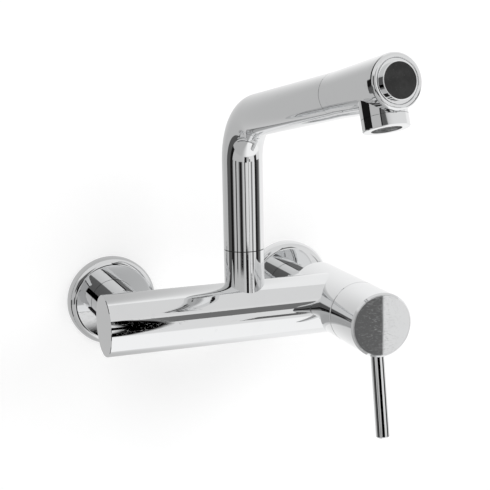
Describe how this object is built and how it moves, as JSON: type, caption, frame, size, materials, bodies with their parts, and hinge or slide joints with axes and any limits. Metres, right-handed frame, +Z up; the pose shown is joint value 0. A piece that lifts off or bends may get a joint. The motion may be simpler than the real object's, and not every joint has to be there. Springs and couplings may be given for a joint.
{
  "type": "wall mounted kitchen mixer tap",
  "caption": "Wall mounted single lever kitchen mixer: round body on two wall unions with rosettes, high swivel spout with aerator, and a knob with a pin lever.",
  "frame": {"origin": "in the finished wall plane, midway between the two water connections", "axes": "+Z up, +Y into the wall, +X to the right as seen from the room; the cartridge and knob are at the +X end"},
  "size_m": [0.22, 0.331, 0.2891],
  "materials": {
    "chrome": "polished",
    "nut_chrome": "satin chrome",
    "union_brass": "machined",
    "plain_brass": "machined",
    "copper": "drawn tube",
    "rubber": "matte",
    "fibre": "pressed fibre",
    "cartridge_plastic": "moulded",
    "carrier_plastic": "moulded",
    "ceramic": "lapped ceramic",
    "steel": "stainless",
    "aerator_plastic": "moulded",
    "mesh_steel": "woven",
    "black_glide": "moulded black",
    "dark_inlay": "dark lacquered disc"
  },
  "bodies": {
    "mixer_body": {"wall_union_hot": "union_brass", "wall_union_cold": "union_brass", "filter_washer_hot": "fibre", "filter_washer_cold": "fibre", "inlet_tail_hot": "plain_brass", "inlet_tail_cold": "plain_brass", "union_nut_hot": "nut_chrome", "union_nut_cold": "nut_chrome", "rosette_hot": "chrome", "rosette_cold": "chrome", "rosette_rubber_rings": "rubber", "body_casting": "chrome", "body_end_plug": "chrome", "body_end_plug_ring": "rubber", "mixed_water_tube": "copper", "mixed_tube_rings": "rubber", "port_seals": "rubber", "cartridge_base": "cartridge_plastic", "ceramic_fixed_disc": "ceramic", "cartridge_shell": "cartridge_plastic", "cartridge_nut": "plain_brass", "dome_cover": "chrome", "swivel_glide_ring": "black_glide", "spout_screw": "steel"},
    "spout": {"spout_tail": "plain_brass", "spout_tail_rings": "rubber", "spout_tube": "chrome", "spout_head": "chrome", "spout_sleeve": "plain_brass", "spout_end_plug": "chrome", "spout_end_inlay": "dark_inlay", "spout_end_plug_ring": "rubber", "aerator_housing": "chrome", "aerator_insert": "aerator_plastic", "aerator_mesh": "mesh_steel", "aerator_washer": "rubber"},
    "cartridge_turn": {"spindle_carrier": "carrier_plastic", "spindle_pivot_pin": "steel"},
    "disc_slider": {"disc_driver": "carrier_plastic", "ceramic_moving_disc": "ceramic"},
    "lever": {"spindle": "plain_brass", "knob_hood": "chrome", "knob_face_disc": "chrome", "lever_pin": "chrome", "lever_lock_screw": "steel"}
  },
  "joints": [
    {"name": "spout_swivel", "type": "hinge", "parent": "mixer_body", "child": "spout", "pos_m": [0.01, -0.08, 0.056], "axis": [0, 0, 1], "range_deg": [-95, 85]},
    {"name": "temperature_turn", "type": "hinge", "parent": "mixer_body", "child": "cartridge_turn", "pos_m": [0.086, -0.112, 0.0075], "axis": [0, -1, 0], "range_deg": [-45, 45]},
    {"name": "lever_lift", "type": "hinge", "parent": "cartridge_turn", "child": "lever", "pos_m": [0.086, -0.112, 0.0075], "axis": [-1, 0, 0], "range_deg": [0, 20]},
    {"name": "disc_slide", "type": "slide", "parent": "cartridge_turn", "child": "disc_slider", "axis": [0, 0, -1], "range_m": [0, 0.00289]}
  ],
  "couplings": [
    {"joint": "disc_slide", "follows": "lever_lift", "m_per_rad": 0.00828}
  ]
}
